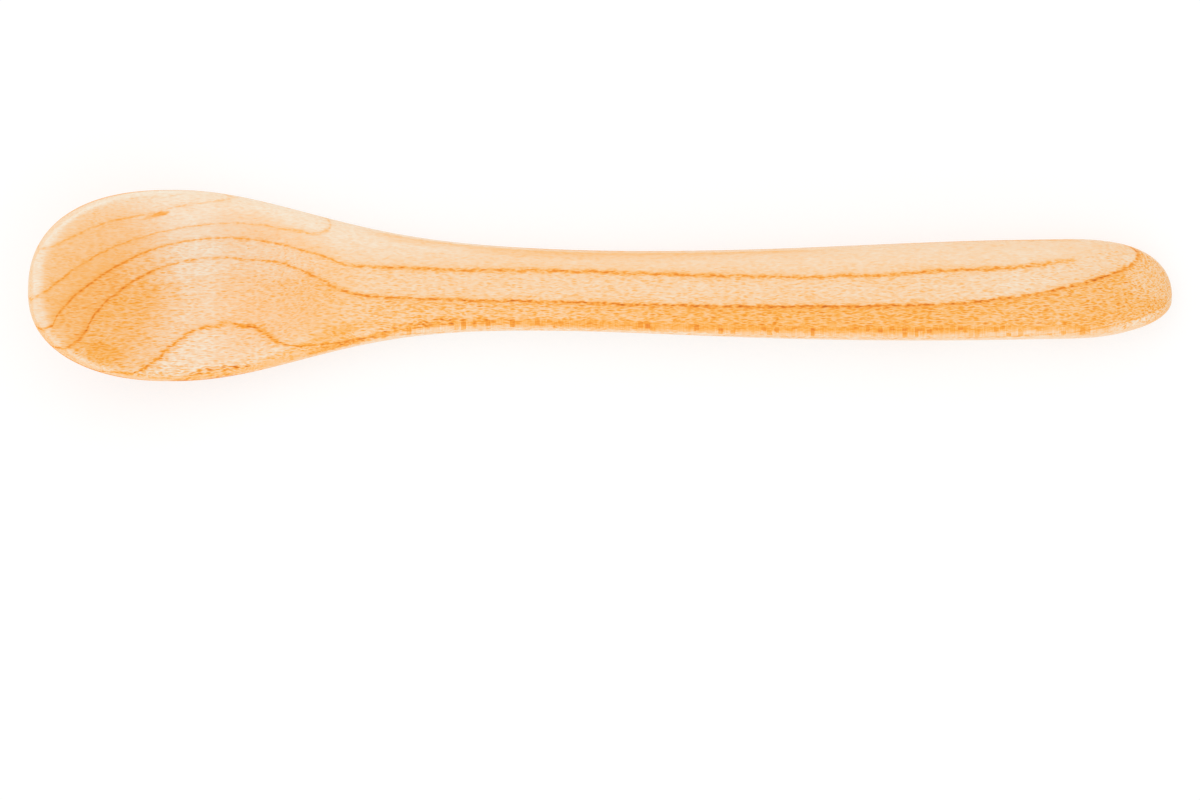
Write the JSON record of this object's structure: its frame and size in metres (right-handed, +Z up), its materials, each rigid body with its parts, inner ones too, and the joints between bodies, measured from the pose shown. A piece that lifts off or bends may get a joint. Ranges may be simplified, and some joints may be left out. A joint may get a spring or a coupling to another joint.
{
  "type": "feeding spoon",
  "caption": "Small feeding spoon carved from one piece of pale hardwood, with a shallow oval bowl that lifts towards its tip and a rounded, slightly arched handle.",
  "frame": {"origin": "Centre of the spoon's footprint, on the table that it rests on.", "axes": "+X along the spoon towards the end of the handle, +Y to the left when looking along +X, +Z up out of the open bowl."},
  "size_m": [0.14, 0.0234, 0.0138],
  "materials": {
    "pale_wood": "sanded smooth and lightly oiled, satin"
  },
  "bodies": {
    "root": {"carved_spoon": "pale_wood"}
  },
  "joints": []
}
